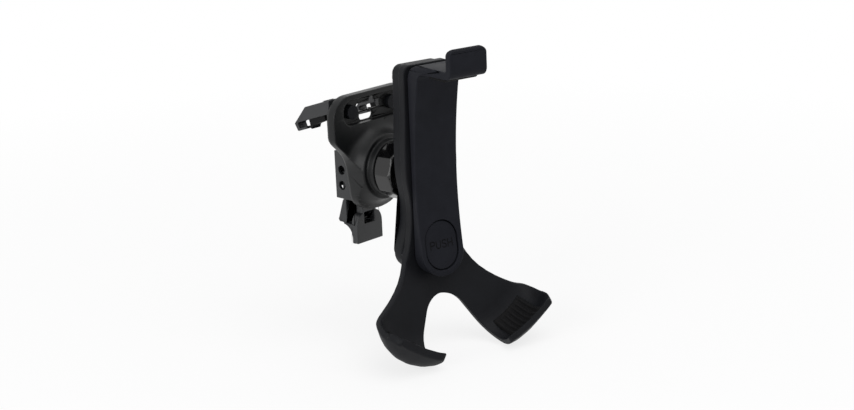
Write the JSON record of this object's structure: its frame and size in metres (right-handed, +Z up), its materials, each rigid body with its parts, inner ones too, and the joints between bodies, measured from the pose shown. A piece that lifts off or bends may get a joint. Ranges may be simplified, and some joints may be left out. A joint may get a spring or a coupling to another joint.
{
  "type": "car phone holder",
  "caption": "Air vent phone holder: a Y-shaped cradle with scooped feet and a sliding top hook, on a ball joint with a lock nut and a louvre clip.",
  "frame": {"origin": "the middle of the claws' throats, where they hold the louvre of an air vent", "axes": "+X to the right as the driver sees it, +Y away from the driver into the vent, +Z up"},
  "size_m": [0.0502, 0.061, 0.0785],
  "materials": {
    "housing_plastic": "fine matte texture, near-black charcoal",
    "slider_plastic": "soft-touch matte, charcoal",
    "clip_plastic": "satin moulded, dark grey",
    "nut_plastic": "polished black",
    "inner_plastic": "moulded, black",
    "pad_rubber": "matte black rubber",
    "spring_steel": "drawn spring steel",
    "screw_steel": "zinc plated"
  },
  "bodies": {
    "clip": {"clip_face": "clip_plastic", "claw_left": "clip_plastic", "claw_right": "clip_plastic", "claw_pad_left": "pad_rubber", "claw_pad_right": "pad_rubber", "claw_screws": "clip_plastic", "rear_bracket": "clip_plastic", "bracket_screws": "screw_steel"},
    "foot": {"support_foot": "clip_plastic", "support_pad": "pad_rubber"},
    "nut": {"lock_nut": "nut_plastic"},
    "seat": {"ball_seat": "inner_plastic"},
    "stud": {"ball_stud": "inner_plastic", "stud_washer": "screw_steel", "stud_clip": "spring_steel"},
    "cradle": {"cradle_front": "housing_plastic", "rear_cover": "housing_plastic", "cover_screws": "screw_steel", "latch_rack": "inner_plastic", "foot_pad_left": "pad_rubber", "foot_pad_right": "pad_rubber", "pull_spring": "spring_steel"},
    "slider": {"slider_plate": "slider_plastic", "slider_carriage": "inner_plastic", "carriage_screws": "screw_steel", "hook_pad": "pad_rubber", "button_spring": "spring_steel"},
    "button": {"push_button": "slider_plastic", "latch_bar": "spring_steel"}
  },
  "joints": [
    {"name": "ball_pan", "type": "hinge", "parent": "clip", "child": "seat", "pos_m": [0, -0.02296, -0.01115], "axis": [0, 0, 1], "range_deg": [-13, 37]},
    {"name": "ball_tilt", "type": "hinge", "parent": "seat", "child": "stud", "pos_m": [0, -0.02296, -0.01115], "axis": [0.9781, -0.2079, 0], "range_deg": [-12, 12]},
    {"name": "cradle_roll", "type": "hinge", "parent": "stud", "child": "cradle", "pos_m": [0, -0.02296, -0.01115], "axis": [0.2079, 0.9781, 0], "continuous": true},
    {"name": "slider_lift", "type": "slide", "parent": "cradle", "child": "slider", "axis": [0, 0, 1], "range_m": [0, 0.023], "deforming": ["pull_spring"]},
    {"name": "button_push", "type": "slide", "parent": "slider", "child": "button", "axis": [0.2079, 0.9781, 0], "range_m": [0, 0.0008], "stiffness_N_per_m": 400, "springref_m": -0.001},
    {"name": "nut_turn", "type": "hinge", "parent": "clip", "child": "nut", "pos_m": [0, -0.02296, -0.01115], "axis": [0, 1, 0], "range_deg": [0, 90]},
    {"name": "foot_lift", "type": "slide", "parent": "clip", "child": "foot", "axis": [0, 0, 1], "range_m": [0, 0.0041]}
  ]
}
